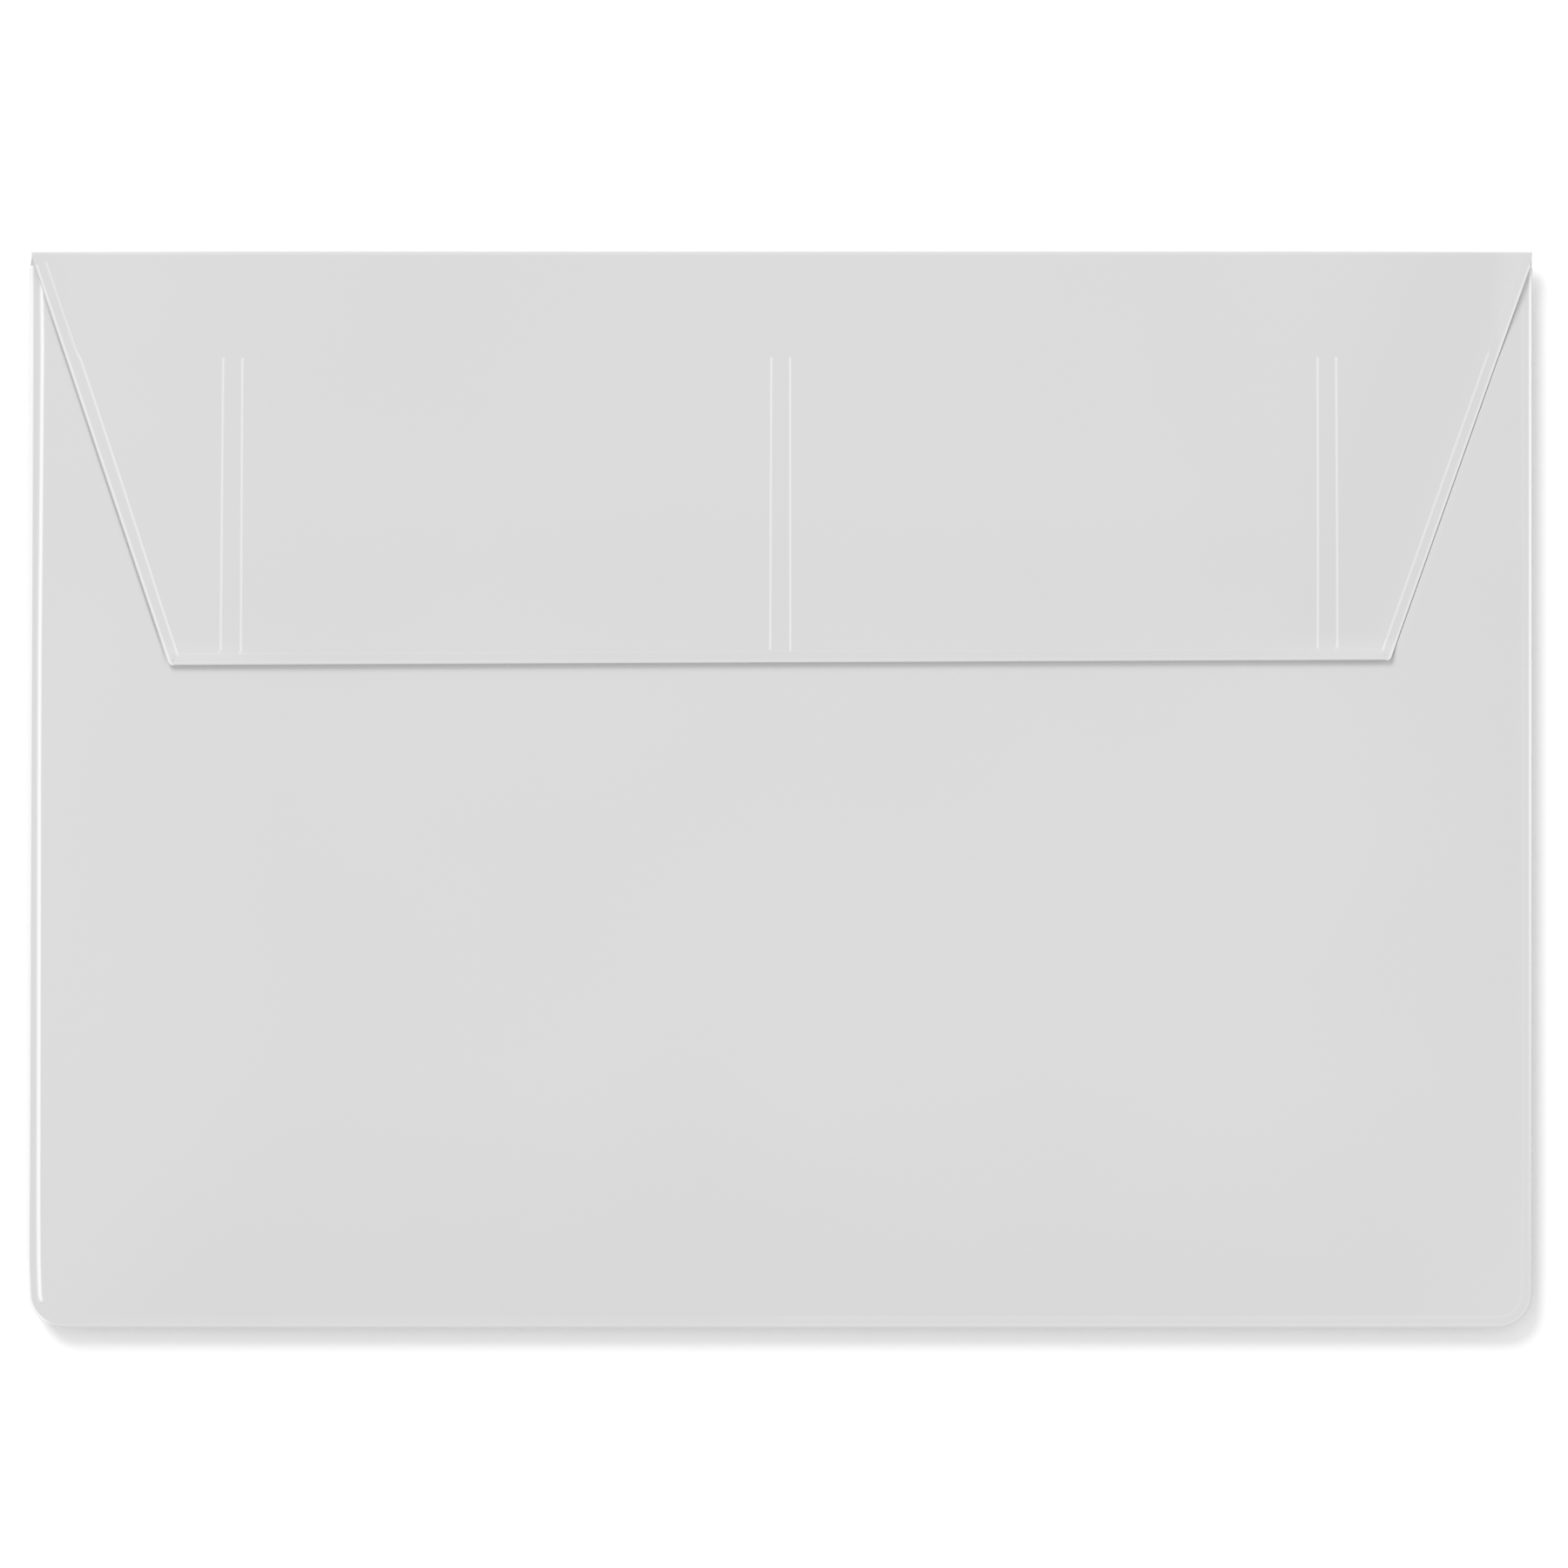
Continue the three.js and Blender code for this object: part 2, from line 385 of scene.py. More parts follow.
def ripple(x, y):
    """Two slow sine waves in the upper sheets, a few hundredths of a millimetre high, which fade
    out at the seams as the slack does."""
    first = np.sin(x / (23 * MM) + 1.3 * np.sin(y / (31 * MM)))
    second = np.sin(y / (17 * MM) - x / (41 * MM))
    return RIPPLE * (first + second) * slack(x, y) / BULGE


def eased(t):
    """From 0 to 1 with a level start and end."""
    t = np.clip(t, 0, 1)
    return t * t * (3 - 2 * t)


print("slack in the middle:", round(float(slack(0.0, 0.0)) / MM, 2), "mm")


# %% The outlines
def pouch_half(y):
    """Half the width of the pouch at y, with a quarter circle at its bottom corners."""
    below = np.clip(CORNER_Y - y, 0, CORNER_RADIUS)
    return HALF_WIDTH - CORNER_RADIUS + np.sqrt(CORNER_RADIUS**2 - below**2)


def flap_half(y):
    """Half the width of the flap at y: full at the fold, then narrowing at a steady rate, with a
    small quarter circle at its end."""
    low = np.clip(1 - (y - FLAP_END_Y) / FLAP_CORNER, 0, 1)
    round_off = FLAP_CORNER * (1 - np.sqrt(1 - low**2))
    return HALF_WIDTH + FLAP_SLANT * np.minimum(y - BAND_Y, 0) - round_off


def slant_inset(x, y):
    """The distance from the nearer slant of the flap."""
    return (flap_half(y) - np.abs(x)) * math.cos(math.atan(FLAP_SLANT))


def flap_inset(x, y):
    """The distance from the nearest free edge of the flap."""
    return np.minimum(slant_inset(x, y), y - FLAP_END_Y)


end_width = 2 * float(flap_half(FLAP_END_Y + FLAP_CORNER))
print("the flap narrows to", round(end_width / MM, 1), "mm")

# %% [markdown]
# ## How the flap lies
# The fold holds the flap up a little, but its free edges have settled on the front, and along its
# slants they have pressed it in. The clear sheet is welded to the flap there, so it goes down
# with it. Each height is the shared surface, less how far the sheet has settled.

# %% The settled sheets
SETTLED_BAND, SETTLING = 2.2 * MM, 26 * MM  # flat on the front, then rising off it
DENT_CHANGE = 20 * MM  # from the middle to where a dent has its own side's depth
DENT_ROOM = 0.45 * MM  # the slack that a full dent needs under it
DENT_START = 4 * MM  # from the end of the flap to where the dent is full
DENT_BAND, DENT_FADE = 3 * MM, 20 * MM  # full along the slant, then fading inwards


def dent(x, y):
    """How deep the flap has pressed the front in: its side's depth, times how much room there is
    above the back, times a rise from the end of the flap and a fall away from its slants."""
    to_right = eased((x / DENT_CHANGE + 1) / 2)
    depth = LEFT_DENT + (RIGHT_DENT - LEFT_DENT) * to_right
    room = np.clip(slack(x, y) / DENT_ROOM, 0, 1)
    start = eased((y - FLAP_END_Y) / DENT_START)
    return depth * room * start * (1 - eased((slant_inset(x, y) - DENT_BAND) / DENT_FADE))


def settled(x, y, settle):
    """How far a sheet of the flap has come down: all the way at its free edges, easing to 0."""
    near_edge = 1 - eased((flap_inset(x, y) - SETTLED_BAND) / SETTLING)
    return (settle + dent(x, y)) * near_edge


def flap_top(x, y):
    """The height of the flap's outer face."""
    return FLAP_TOP_Z + slack(x, y) + ripple(x, y) - settled(x, y, FLAP_SETTLE)


def card_underside(x, y):
    """The height of the clear sheet's lower face."""
    return CARD_Z + slack(x, y) + ripple(x, y) - settled(x, y, CARD_SETTLE)


print("the edge of the flap has settled by", round(FLAP_SETTLE / MM, 2), "mm")

# %% [markdown]
# ## Out of true
# Two small functions move points on the plan, so that every sheet and weld that shares an edge is
# moved alike: one for the left edge of the pouch and one for the whole flap. The front has to
# know where the edges of the flap come to lie, because they press the step into it.

# %% Places on the plan
# The left edge of the pouch from the bottom up, and how far to the right it is there
LEFT_EDGE_Y = np.array([-88, -73, 0, 87, 88.5, 89.8, 91.5]) * MM
LEFT_EDGE_SHIFT = np.array([-0.3, -0.38, -0.22, -0.15, -0.22, -0.12, 0.2]) * MM


def tucked(x, y):
    """x with the left edge a little out of line: the shift of that edge at y, falling to none at
    the middle of the pouch."""
    return x + np.interp(y, LEFT_EDGE_Y, LEFT_EDGE_SHIFT) * np.clip(-x / HALF_WIDTH, 0, 1)


def flap_shifts(y):
    """How far the left and the right edge of the flap are off their places, and how far down the
    flap y is."""
    down = np.clip((BAND_Y - y) / (BAND_Y - FLAP_END_Y), 0, 1)
    left = LEFT_AT_FOLD + (LEFT_AT_END - LEFT_AT_FOLD) * down
    right = RIGHT_AT_FOLD + (RIGHT_AT_END - RIGHT_AT_FOLD) * down
    return left, right, down


def flap_place(x, y, z):
    """A point of the flap with its plan askew: each half is shifted as its edge is, in step with
    the distance from the middle, and the end is turned and lowered."""
    left, right, down = flap_shifts(y)
    share = x / flap_half(y)
    skewed = x + left * np.clip(-share, 0, 1) + right * np.clip(share, 0, 1)
    turned = y + (FLAP_TILT * share - FLAP_DROP) * down
    return np.stack(np.broadcast_arrays(skewed, turned, z), -1)


def flap_edges(y):
    """Where the left and the right edge of the flap come to lie over the front, down to the round
    of its corners."""
    y = np.maximum(y, FLAP_END_Y + FLAP_CORNER + FLAP_TILT)
    left, right, down = flap_shifts(y)
    left_half = flap_half(y + (FLAP_DROP + FLAP_TILT) * down)
    right_half = flap_half(y + (FLAP_DROP - FLAP_TILT) * down)
    return left - left_half, right + right_half


edges = flap_edges(CARD_MOUTH_Y)
print("edges of the flap at the card pockets:", [round(float(x) / MM, 2) for x in edges], "mm")

# %% [markdown]
# ## Making meshes
# A sheet is a grid of points for its outer face and another for its inner face, joined round the
# border. A weld is a row of closed rings with a cap at each end. Blender could thicken a plane
# with a modifier, but a formula for each face lets the thickness change at will. Both become a
# mesh in one call, with no loop over the points.

# %% Mesh helpers
SHARP = math.radians(50)  # edges that bend more than this stay sharp


def make_piece(name, points, quads, caps, material):
    """One object from all its points, its quads and any end caps, shaded smoothly."""
    mesh = bpy.data.meshes.new(name)
    mesh.from_pydata(points.reshape(-1, 3), [], [*quads.tolist(), *caps])
    mesh.shade_smooth()
    mesh.set_sharp_from_angle(angle=SHARP)
    mesh.materials.append(material)
    piece = bpy.data.objects.new(name, mesh)
    bpy.context.collection.objects.link(piece)
    print(name, "has", len(mesh.polygons), "faces")
    return piece


def grid_quads(index):
    """The quads of a grid of vertex numbers, turning left as seen with columns to the right and
    rows upwards."""
    corners = [index[:-1, :-1], index[:-1, 1:], index[1:, 1:], index[1:, :-1]]
    return np.stack(corners, -1).reshape(-1, 4)


def crowded(low, high, count, power=1.7):
    """Steps from low to high that are closer together at both ends: each half follows a power of
    the distance from its end."""
    t = np.linspace(-1, 1, count)
    t = np.sign(t) * (1 - (1 - np.abs(t)) ** power)
    return low + (high - low) * (t + 1) / 2


print("steps from 0 to 1:", crowded(0, 1, 5).round(2).tolist())


# %% Sheets and welds
def make_sheet(name, outer, inner, material):
    """A closed sheet between two grids of points, [row, column]. The grid of outer turns outwards
    and the grid of inner lies behind it, point for point."""
    rows, columns = outer.shape[:2]
    count = rows * columns
    top = np.arange(count).reshape(rows, columns)
    border = np.concatenate([top[0, :], top[1:, -1], top[-1, -2::-1], top[-2:0:-1, 0]])
    following = np.roll(border, -1)
    rim = np.stack([border, border + count, following + count, following], -1)
    quads = np.concatenate([grid_quads(top), grid_quads(top + count)[:, ::-1], rim])
    points = np.concatenate([outer.reshape(-1, 3), inner.reshape(-1, 3)])
    return make_piece(name, points, quads, [], material)


def make_weld(name, rings, whitening_and_painted_light):
    """A closed bar through rings of points, [ring, point]. The last argument is how white each
    point came out, from 0 to 1, by the press and as painted highlight, or below 0 how dark, as
    painted shade."""
    count, around = rings.shape[:2]
    index = np.arange(count * around).reshape(count, around)
    wrapped = np.concatenate([index, index[:, :1]], 1)
    caps = [index[0, ::-1].tolist(), index[-1, :].tolist()]
    piece = make_piece(name, rings, grid_quads(wrapped), caps, weld_vinyl)
    # Per point: whitening with painted highlight above 0, painted shade below 0.
    attribute = piece.data.attributes.new("whitening_and_painted_light", "FLOAT", "POINT")
    attribute.data.foreach_set("value", np.clip(whitening_and_painted_light, -1, 1).astype(np.float32).ravel())
    return piece


print("sheets and welds can be made")

# %% [markdown]
# ## The wrapping sheet
# The back and the flap are one sheet, so they are one surface here too: it starts at the bottom
# edge, runs up the back, turns round the fold and comes down as the flap. Two sheets that meet at
# the crease would be simpler, but would show a gap as the flap opens. The round of the fold is
# half an ellipse with fuller shoulders, a superellipse, and its height follows the slack, so it
# is low at the sides and full in the middle.

# %% The surface of the wrap
BACK_FOLD, FLAP_FOLD = 2.5, 10  # the powers of the superellipse: 2 is an ellipse, more is squarer


def welded_inset(y):
    """How far the edge of a sheet lies inside its seam: a tenth of a millimetre, running out to
    nothing over the last three below the mouth."""
    return 0.1 * MM * np.clip((MOUTH_Y - y) / (3 * MM), 0, 1)


def wrap_points(share, run, inset):
    """Points of the wrapping sheet. share goes from -1 to 1 across. run says, for each row, the
    place along the plan, the turn round the fold and whether it is the back (-1) or the flap (1).
    inset is how deep under the outer face. Round the fold, depth and height follow a power of the
    turn's sine and cosine. The flap's own skew comes in along its part of the fold."""
    y, turn, facing = (part[:, None] for part in run)
    on_back = facing < 0
    half = np.where(on_back, pouch_half(y) - welded_inset(y), flap_half(y))
    x = share[None, :] * half
    power = np.where(on_back, 2 / BACK_FOLD, 2 / FLAP_FOLD)
    outer = np.where(on_back, HALF_STACK + slack(x, y), flap_top(x, y) - CREASE_Z)
    z = CREASE_Z + facing * (outer - inset) * np.cos(turn) ** power
    out = np.broadcast_to((FOLD_DEPTH - inset) * np.sin(turn) ** power, x.shape)
    back = np.stack([tucked(x, y + out), y + out, z], -1)
    flap = flap_place(x, y, z) + np.stack([0 * out, out, 0 * out], -1)
    skew = np.where(on_back, 0, 1 - out / (FOLD_DEPTH - inset))
    return back + (flap - back) * skew[..., None]


print("the fold stands out by", round(FOLD_DEPTH / MM, 1), "mm")

# %% The back and the flap
QUARTER = math.pi / 2
CORNER_ROWS, SIDE_ROWS, FOLD_ROWS, FLAP_ROWS, WRAP_COLUMNS = 13, 90, 25, 50, 130
FLAP_END_ROWS = FLAP_END_Y + FLAP_CORNER * (1 - np.cos(np.linspace(0, QUARTER, 7)[:-1]))


def pouch_rows(top):
    """Rows from the bottom edge up to top, close together round the bottom corners."""
    corner = CORNER_Y - CORNER_RADIUS * np.cos(np.linspace(0, QUARTER, CORNER_ROWS))
    return np.concatenate([corner, np.linspace(CORNER_Y, top, SIDE_ROWS)[1:]])


def make_wrap():
    """The wrap as one grid: the rows of the back, of both halves of the fold and of the flap. Its
    rows run round the outside of the pouch, so the grid turns inwards, and the inner face is
    given as the one that turns outwards."""
    back = pouch_rows(BAND_Y)
    turns = np.linspace(0, QUARTER, FOLD_ROWS)
    straight = np.linspace(BAND_Y, FLAP_END_Y + FLAP_CORNER, FLAP_ROWS)[1:]
    flap = np.concatenate([straight, FLAP_END_ROWS[::-1]])
    band = np.full(len(turns) - 1, BAND_Y)
    y = np.concatenate([back, band, band, flap])
    turn = np.concatenate([np.zeros(len(back)), turns[1:], turns[-2::-1], np.zeros(len(flap))])
    to_crease, to_end = len(back) + len(band), len(band) + len(flap)
    facing = np.concatenate([np.full(to_crease, -1), np.ones(to_end)])
    share = crowded(-1, 1, WRAP_COLUMNS)
    outer, inner = (wrap_points(share, (y, turn, facing), inset) for inset in (0, SHEET))
    return make_sheet("wrap_sheet", inner, outer, sheet_vinyl)


wrap = make_wrap()
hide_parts("back_panel", "flap_panel")
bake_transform(wrap)

# %% The flat size of the wrap
fold_length = math.pi * math.hypot(FOLD_DEPTH, HALF_STACK + BULGE) / math.sqrt(2)
back_length, flap_length = BAND_Y - BOTTOM_Y, BAND_Y - FLAP_END_Y
flap_mean_width = HALF_WIDTH + flap_half(FLAP_END_Y)
wrap_area = 2 * HALF_WIDTH * (back_length + fold_length) + flap_mean_width * flap_length

# %% [markdown]
# ## The front sheet
# The front is cut to the same outline as the back, up to the mouth of the pouch under the flap.
# The slants of the flap have pressed a shallow step into it. An even grid would show that step as
# a row of teeth, so the columns of this grid run along it and stay close together there.

# %% The columns of the front
SIDE_COLUMNS, STEP_COLUMNS, MIDDLE_COLUMNS = 17, 12, 99
LEAST_SIDE, LEAST_STEP = 0.3 * MM, 0.6 * MM  # what the columns keep where the step meets the edge


def front_dent(x, y):
    """The dent in the front: full under the flap, and rising again within STEP of its slants."""
    left, right = flap_edges(y)
    past = np.maximum(left - x, x - right)
    return dent(x, y) * (1 - eased((past / STEP + 1) / 2))


def front_columns(y):
    """x for each row and column: even steps between the outline, the two sides of the step at
    each slant, and the outline again."""
    left, right = flap_edges(y)
    half = pouch_half(y) - welded_inset(y)
    outer, inner = half - LEAST_SIDE, half - LEAST_STEP
    left_step = np.maximum(left - STEP, -outer), np.maximum(left + STEP, -inner)
    right_step = np.minimum(right - STEP, inner), np.minimum(right + STEP, outer)
    knots = np.stack([-half, *left_step, *right_step, half], -1)
    side = np.linspace(0, 1, SIDE_COLUMNS + 1)[:-1]
    step = np.linspace(0, 1, STEP_COLUMNS + 1)[:-1]
    middle = crowded(0, 1, MIDDLE_COLUMNS + 1)[:-1]
    t = np.concatenate([side, 1 + step, 2 + middle, 3 + step, 4 + side, [5]])
    low = np.minimum(t.astype(int), 4)
    return knots[:, low] * (1 - t + low) + knots[:, low + 1] * (t - low)


print("the step is", round(2 * STEP / MM, 2), "mm wide")


# %% The front
def make_front():
    """Two grids at the front's own columns: the slack, less the dent."""
    rows = pouch_rows(MOUTH_Y)
    x = front_columns(rows)
    y = np.broadcast_to(rows[:, None], x.shape)
    rise = slack(x, y) + ripple(x, y) - front_dent(x, y)
    faces = (FRONT_Z + SHEET, FRONT_Z)
    upper, lower = (np.stack([tucked(x, y), y, face + rise], -1) for face in faces)
    return make_sheet("front_sheet", upper, lower, sheet_vinyl)


front = make_front()
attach(front, "pouch")
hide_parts("front_panel")

# %% [markdown]
# ## The card pocket sheet
# A clear sheet of half the thickness lies under the flap, from the mouth of the card pockets to
# the end of the flap. It is cut to the flap's own outline, a little inside it, so that none of it
# shows from above. It is made as the front is, on the underside of the flap.

# %% The clear sheet
CARD_INSET, CARD_END_INSET = 0.35 * MM, 0.1 * MM  # from the slants and from the end of the flap
STRAIGHT_FROM = 0.7 * MM  # from the end of the flap to its first straight row
CARD_ROWS, CARD_COLUMNS = 40, 110


def make_card_sheet():
    """Two grids that narrow with the flap, at the height of the clear sheet."""
    straight = np.linspace(FLAP_END_Y + STRAIGHT_FROM, CARD_MOUTH_Y, CARD_ROWS)
    y = np.concatenate([FLAP_END_ROWS + CARD_END_INSET, straight])[:, None]
    x = crowded(-1, 1, CARD_COLUMNS)[None, :] * (flap_half(y) - CARD_INSET)
    faces = (CLEAR_SHEET, 0)
    upper, lower = (flap_place(x, y, card_underside(x, y) + face) for face in faces)
    return make_sheet("card_sheet", upper, lower, film)


card_sheet = make_card_sheet()
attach(card_sheet, "flap")
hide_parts("card_pocket_sheet")
card_length = CARD_MOUTH_Y - FLAP_END_Y
card_area = card_length * (flap_half(CARD_MOUTH_Y) + flap_half(FLAP_END_Y))
card_flat = (2 * flap_half(CARD_MOUTH_Y), card_length)

# %% [markdown]
# ## The seams
# The press cuts the outline and welds it in one stroke. It leaves a rounded bead along the cut, a
# flat pressed strip, and a fine raised line at the inner edge of the weld, where the melted vinyl
# was squeezed out. That line catches the light on the left; its white there, and the white of the
# rim, is painted highlight. Each seam could be a tube with a bevel, but its section isn't round,
# so it is a profile carried along its stretch of the outline.

# %% A profile along a path
SECTION = np.linspace(0, 1, 34)[None, :] ** 1.4  # steps across, closer together at the cut


def bump(distance, centre, width):
    """A rounded rise of height 1 at centre: the bell curve of the distance over the width."""
    return np.exp(-(((distance - centre) / width) ** 2))


def quarter_round(inset, radius):
    """From 0 at the edge to 1 at the radius, on a quarter circle."""
    return np.sqrt(1 - (1 - np.clip(inset / radius, 0, 1)) ** 2)


def stepped_in(points, inwards, inset):
    """x and y of a band along a path: each point of the path moved inwards by each inset."""
    plan = points[:, None, :] + inwards[:, None, :] * inset[..., None]
    return plan[..., 0], plan[..., 1]


print("a section has", SECTION.size, "steps")

# %% What the press left along the outline, and the painted highlight on it
# Along the left edge, from the bottom up: how wide the rim came out, and how far in the line is.
LEFT_RIM_WIDTH = [-91, -85, -81, -66, 1, 60, 76], [0.45, 0.3, 0.15, 0.24, 0.33, 0.54, 0.6]
LEFT_LINE_AT = (
    [-88, -81, -66, 1, 23, 61, 76, 85],
    [1.98, 1.8, 1.78, 1.77, 1.83, 2.14, 2.25, 2.17],
)
# Along the right edge: how white the rim came out, as painted highlight
RIGHT_RIM_WHITE = [-92, -60, 0, 50], [0.05, 0.25, 0.9, 1.1]
RIGHT_RIM_WIDTH = 0.56 * MM
# How white the left rim, the left line and the other lines are: painted highlight.
LEFT_RIM_WHITE, LEFT_LINE_WHITE, OTHER_LINE_WHITE = 2.2, 1.3, 0.05
# Where the left marks ease out round the corner, as shares of its radius: from, and over how much
RIM_FADE, LINE_FADE = (0.7, 0.3), (0.25, 0.15)


def faded(low, fade):
    """From 1 to 0 down the corner: low is how far down it a point is."""
    start, length = fade
    return 1 - eased((low - start) / length)


def seam_marks(x, y):
    """How white the rim and the line came out, as painted highlight, how wide the rim is and how
    far in the line is. The left side, which faces the key light, has the most painted highlight,
    down to its corner, the right side only along its rim, and the bottom hardly any. On the left,
    both marks ease out round the corner."""
    left = x < 0
    low = (CORNER_Y - y) / CORNER_RADIUS
    right_rim = np.interp(y / MM, *RIGHT_RIM_WHITE)
    rim = np.where(left, LEFT_RIM_WHITE * faded(low, RIM_FADE), right_rim)
    line = np.where(left, LEFT_LINE_WHITE * faded(low, LINE_FADE), OTHER_LINE_WHITE)
    rim_end = np.where(left, np.interp(y / MM, *LEFT_RIM_WIDTH) * MM, RIGHT_RIM_WIDTH)
    line_at = np.where(left, np.interp(y / MM, *LEFT_LINE_AT) * MM, SEAM_WIDTH)
    return rim, line, rim_end, line_at


print("the right rim whitens from", RIGHT_RIM_WHITE[1][0], "to", RIGHT_RIM_WHITE[1][-1])

# %% The shape of a seam
SEAM_MIDDLE = (side_seam_low.z + side_seam_high.z) / 2
SEAM_HALF = FRONT_Z + SHEET - SEAM_MIDDLE
SEAM_EDGE = 0.2 * MM  # the radius of the cut edge
SEAM_PROUD = 0.02 * MM  # above the faces of the sheets, so that they don't show through it
RIM_RISE, RIM_SPREAD = 0.04 * MM, 0.42  # the spread is a share of the rim's own width
LINE_RISE, WHITE_LINE_RISE, LINE_SPREAD = 0.01 * MM, 0.11 * MM, 0.34 * MM
SEAM_DIVE = 0.15 * MM  # how deep it goes under the faces of the sheets, past the line
SEAM_DIVE_FROM, SEAM_DIVE_OVER, SEAM_PAST = 0.25 * MM, 0.4 * MM, 0.7 * MM  # from the line


def make_seam(name, points, inwards):
    """A seam along a path. Each section has a rounded edge, a bead at the rim, a flat strip and a
    raised line, and dives under the faces of the sheets past that. It is the same on both
    faces."""
    marks = seam_marks(points[:, 0], points[:, 1])
    rim_mark, line_mark, rim_end, line_at = (mark[:, None] for mark in marks)
    inset = SECTION * (line_at + SEAM_PAST)
    rim = bump(inset, rim_end / 2, RIM_SPREAD * rim_end)
    line = bump(inset, line_at, LINE_SPREAD)
    sink = eased((inset - line_at - SEAM_DIVE_FROM) / SEAM_DIVE_OVER)
    over = SEAM_PROUD + RIM_RISE * rim - SEAM_DIVE * sink
    over = over + (LINE_RISE + WHITE_LINE_RISE * line_mark) * line
    raised = (SEAM_HALF + over) * quarter_round(inset, SEAM_EDGE)
    # Painted highlight on the rim and on the line.
    whitening_and_painted_light = np.maximum(rim * rim_mark, line * line_mark)
    x, y = stepped_in(points, inwards, np.concatenate([inset, inset[:, ::-1]], 1))
    height = SEAM_MIDDLE + np.concatenate([raised, -raised[:, ::-1]], 1)
    rings = np.stack([tucked(x, y), y, height], -1)
    return make_weld(name, rings, np.concatenate([whitening_and_painted_light, whitening_and_painted_light[:, ::-1]], 1))


print("a seam is", round(2 * SEAM_HALF / MM, 2), "mm thick")

# %% The side seams
SIDE_RINGS, CORNER_RINGS, BOTTOM_RINGS = 120, 17, 80

for side, name in ((-1, "left"), (1, "right")):
    y = np.linspace(CORNER_Y, BAND_Y, SIDE_RINGS)
    path = np.stack([np.full(len(y), side * HALF_WIDTH), y], -1)[::-side]
    seam = make_seam(f"seam_{name}", path, np.tile([-side, 0.0], (len(y), 1)))
    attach(seam, "pouch")
    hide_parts(f"{name}_seam_weld")


# %% The bottom seam
def corner_arc(side):
    """A quarter circle round a bottom corner, from the side towards the bottom, and its way
    inwards."""
    turn = np.linspace(0, QUARTER, CORNER_RINGS)
    out = np.stack([side * np.cos(turn), -np.sin(turn)], -1)
    middle = np.array([side * (HALF_WIDTH - CORNER_RADIUS), CORNER_Y])
    return middle + CORNER_RADIUS * out, -out


left_arc, left_in = corner_arc(-1)
right_arc, right_in = corner_arc(1)
straight = np.linspace(left_arc[-1], right_arc[-1], BOTTOM_RINGS)[1:-1]
straight_in = np.tile([0.0, 1.0], (len(straight), 1))
bottom_path = np.concatenate([left_arc, straight, right_arc[::-1]])
bottom_in = np.concatenate([left_in, straight_in, right_in[::-1]])
seam = make_seam("seam_bottom", bottom_path, bottom_in)
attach(seam, "pouch")
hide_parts("bottom_seam_weld")

# %% [markdown]
# ## The welds along the edge of the flap
# The clear sheet is welded to the flap along both slants and along the end, with the same kind of
# profile as the seams. Above the mouth of the card pockets the press only marks the flap. A weld
# goes through both sheets, so it is one bar whose upper side follows the outer face of the flap
# and whose lower side follows the clear sheet.

# %% Sizes of an edge weld
UNDERCUT = 0.4 * MM  # how far the clear sheet is cut back
FLAP_EDGE = 0.08 * MM  # the radius of the cut edge
FLAP_PROUD = 0.02 * MM
EDGE_RISE, EDGE_SPREAD = 0.03 * MM, 0.18 * MM
FLAP_LINE_RISE, FLAP_LINE_SPREAD = 0.15 * MM, 0.2 * MM
FLAP_DIVE = 0.1 * MM  # how deep it goes under the face of the flap, past the line
FLAP_DIVE_FROM, FLAP_DIVE_OVER, FLAP_PAST = 0.2 * MM, 0.3 * MM, 0.55 * MM  # from the line
LOW_SHARE = 0.3  # how much of the section's relief the clear sheet has
ABOVE_MOUTH = 0.8 * MM  # how far the underside takes to pass from the clear sheet to the flap
TOP_CUT_SHADE, LOW_CUT_SHADE = 0.19 * MM, 0.6 * MM  # how wide the painted shade along the cut is, above and below
print("the clear sheet is cut back by", round(UNDERCUT / MM, 1), "mm")


# %% The shape of an edge weld
def make_flap_weld(name, points, inwards, edge_at, line_at, marks):
    """A weld along the flap's edge, through the flap and down to the clear sheet's underside, or
    through the flap alone above the pockets. marks are how white its edge and its line came out
    along the path, as painted highlight, and how dark the painted shade along the cut is. The
    section is a sum of two rounded rises, at edge_at and at line_at, less a dive past the line and
    the rounding of the edge."""
    edge_mark, line_mark, cut = (np.broadcast_to(mark, len(points))[:, None] for mark in marks)
    line_at = np.broadcast_to(line_at, len(points))[:, None]
    inset = SECTION * (line_at + FLAP_PAST)
    edge, line = bump(inset, edge_at, EDGE_SPREAD), bump(inset, line_at, FLAP_LINE_SPREAD)
    sink = eased((inset - line_at - FLAP_DIVE_FROM) / FLAP_DIVE_OVER)
    over = FLAP_PROUD + EDGE_RISE * edge + FLAP_LINE_RISE * line_mark * line - FLAP_DIVE * sink
    rounding = FLAP_EDGE * (1 - quarter_round(inset, FLAP_EDGE))
    x, y = stepped_in(points, inwards, inset)
    upper = flap_place(x, y, flap_top(x, y) + over - rounding)
    low_inset = UNDERCUT + inset * (1 - UNDERCUT / inset.max())
    x, y = stepped_in(points, inwards, low_inset)
    above = eased((points[:, 1:] - CARD_MOUTH_Y) / ABOVE_MOUTH + 0.5)
    under = above * (flap_top(x, y) - SHEET) + (1 - above) * card_underside(x, y)
    lower = flap_place(x, y, under - LOW_SHARE * over + rounding)
    # Painted highlight of the edge and the line, less painted shade along the cut on both faces.
    whitening_and_painted_light = np.maximum(edge * edge_mark, line * line_mark)
    top_press, low_press = (
        whitening_and_painted_light - 2 * cut * (1 - eased(inset / width)) for width in (TOP_CUT_SHADE, LOW_CUT_SHADE)
    )
    whitened_and_painted = np.concatenate([top_press, low_press[:, ::-1]], 1)
    return make_weld(name, np.concatenate([upper, lower[:, ::-1]], 1), whitened_and_painted)


